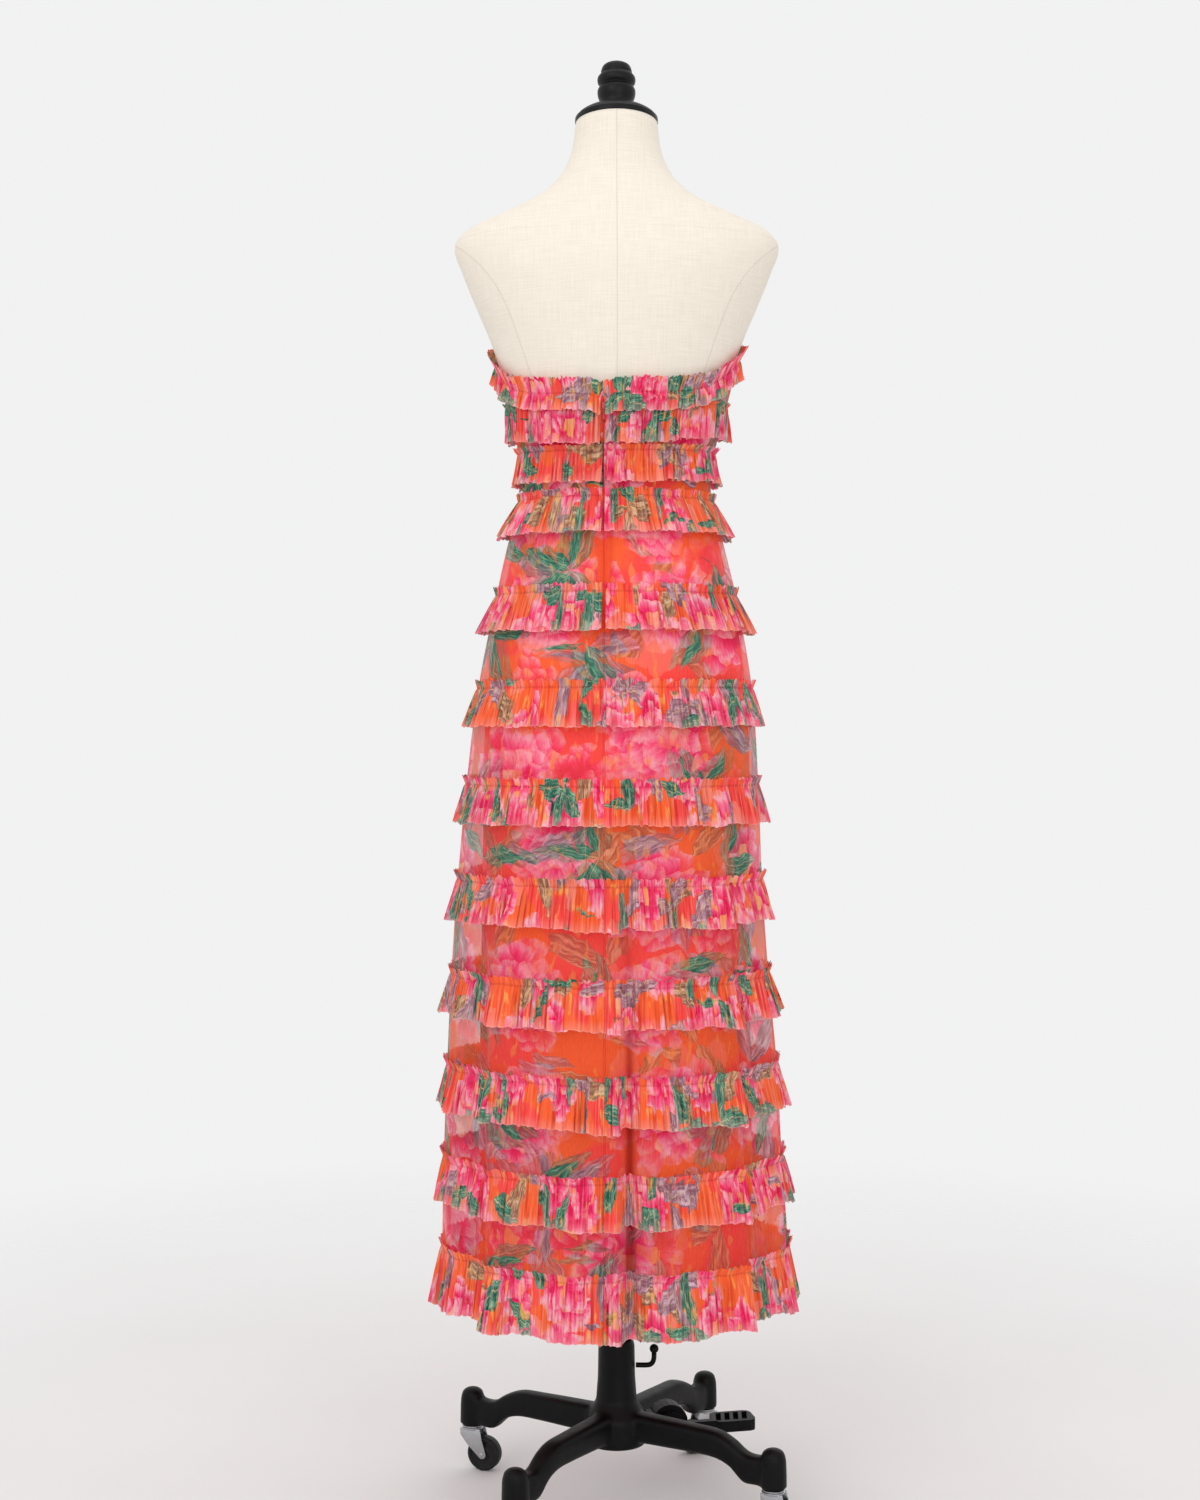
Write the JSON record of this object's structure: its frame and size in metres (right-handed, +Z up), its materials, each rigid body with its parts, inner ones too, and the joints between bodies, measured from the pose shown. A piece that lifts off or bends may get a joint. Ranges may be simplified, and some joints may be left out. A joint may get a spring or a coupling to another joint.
{
  "type": "strapless ruffle dress on a dress form",
  "caption": "Long strapless dress of printed net with gathered ruffles, back zip and slip, worn by a limbless linen dress form on a wheeled stand with foot pedal and lock lever.",
  "frame": {"origin": "on the floor, on the axis of the stand's pole", "axes": "+Z up; the dress's front faces -Y and its back, with the zip, faces +Y; +X is the wearer's left"},
  "size_m": [0.4327, 0.3962, 1.7053],
  "materials": {
    "net": "printed net, matt, slightly sheer",
    "slip_cloth": "printed slip, soft sheen",
    "tape": "woven zip tape",
    "slider": "enamelled",
    "linen": "cream linen cover over a firm form",
    "cap_paint": "satin black paint",
    "iron": "fine textured black paint on cast iron",
    "steel": "bright plated steel",
    "tyre": "black moulded wheel"
  },
  "bodies": {
    "stand": {"stand_base": "iron", "outer_tube": "iron", "pedal_housing": "iron"},
    "pole": {"inner_pole": "steel"},
    "form": {"torso": "linen", "torso_socket": "iron", "neck_cap": "cap_paint", "neck_finial": "cap_paint", "bodice_front": "net", "bodice_back_left": "net", "bodice_back_right": "net", "skirt_front": "net", "skirt_back_left": "net", "skirt_back_right": "net", "slip_front": "slip_cloth", "slip_back": "slip_cloth", "ruffle_01": "net", "ruffle_02": "net", "ruffle_03": "net", "ruffle_04": "net", "ruffle_05": "net", "ruffle_06": "net", "ruffle_07": "net", "ruffle_08": "net", "ruffle_09": "net", "ruffle_10": "net", "ruffle_11": "net", "ruffle_12": "net", "zip_tape": "tape", "zip_slider": "slider"},
    "zip_tab": {"zip_pull": "slider"},
    "lever": {"lock_lever": "iron"},
    "pedal": {"foot_pedal": "iron"},
    "fork_a": {"caster_fork_a": "steel"},
    "fork_b": {"caster_fork_b": "steel"},
    "fork_c": {"caster_fork_c": "steel"},
    "fork_d": {"caster_fork_d": "steel"},
    "wheel_a": {"caster_wheel_a": "tyre"},
    "wheel_b": {"caster_wheel_b": "tyre"},
    "wheel_c": {"caster_wheel_c": "tyre"},
    "wheel_d": {"caster_wheel_d": "tyre"}
  },
  "joints": [
    {"name": "height", "type": "slide", "parent": "stand", "child": "pole", "axis": [0, 0, 1], "range_m": [-0.03, 0.2]},
    {"name": "form_turn", "type": "hinge", "parent": "pole", "child": "form", "pos_m": [0, 0, 0.75], "axis": [0, 0, 1], "continuous": true},
    {"name": "zip_tab_swing", "type": "hinge", "parent": "form", "child": "zip_tab", "pos_m": [0.01536, 0.0946, 1.282], "axis": [1, 0, 0], "range_deg": [0, 150]},
    {"name": "lever_turn", "type": "hinge", "parent": "stand", "child": "lever", "pos_m": [-0.0229, 0, 0.162], "axis": [-1, 0, 0], "range_deg": [0, 180]},
    {"name": "pedal_press", "type": "hinge", "parent": "stand", "child": "pedal", "pos_m": [-0.06104, -0.01342, 0.092], "axis": [0.2147, -0.9767, 0], "range_deg": [0, 20], "stiffness_Nm_per_rad": 1.5, "springref_deg": -20.05},
    {"name": "swivel_a", "type": "hinge", "parent": "stand", "child": "fork_a", "pos_m": [0.11314, 0.17691, 0.0518], "axis": [0, 0, 1], "continuous": true},
    {"name": "swivel_b", "type": "hinge", "parent": "stand", "child": "fork_b", "pos_m": [-0.17691, 0.11314, 0.0518], "axis": [0, 0, 1], "continuous": true},
    {"name": "swivel_c", "type": "hinge", "parent": "stand", "child": "fork_c", "pos_m": [-0.11314, -0.17691, 0.0518], "axis": [0, 0, 1], "continuous": true},
    {"name": "swivel_d", "type": "hinge", "parent": "stand", "child": "fork_d", "pos_m": [0.17691, -0.11314, 0.0518], "axis": [0, 0, 1], "continuous": true},
    {"name": "roll_a", "type": "hinge", "parent": "fork_a", "child": "wheel_a", "pos_m": [0.10419, 0.16365, 0.02109], "axis": [0.829, -0.5592, 0], "continuous": true},
    {"name": "roll_b", "type": "hinge", "parent": "fork_b", "child": "wheel_b", "pos_m": [-0.19195, 0.11861, 0.02109], "axis": [-0.342, -0.9397, 0], "continuous": true},
    {"name": "roll_c", "type": "hinge", "parent": "fork_c", "child": "wheel_c", "pos_m": [-0.09901, -0.1694, 0.02109], "axis": [-0.4695, 0.8829, 0], "continuous": true},
    {"name": "roll_d", "type": "hinge", "parent": "fork_d", "child": "wheel_d", "pos_m": [0.16188, -0.10767, 0.02109], "axis": [-0.342, -0.9397, 0], "continuous": true}
  ]
}
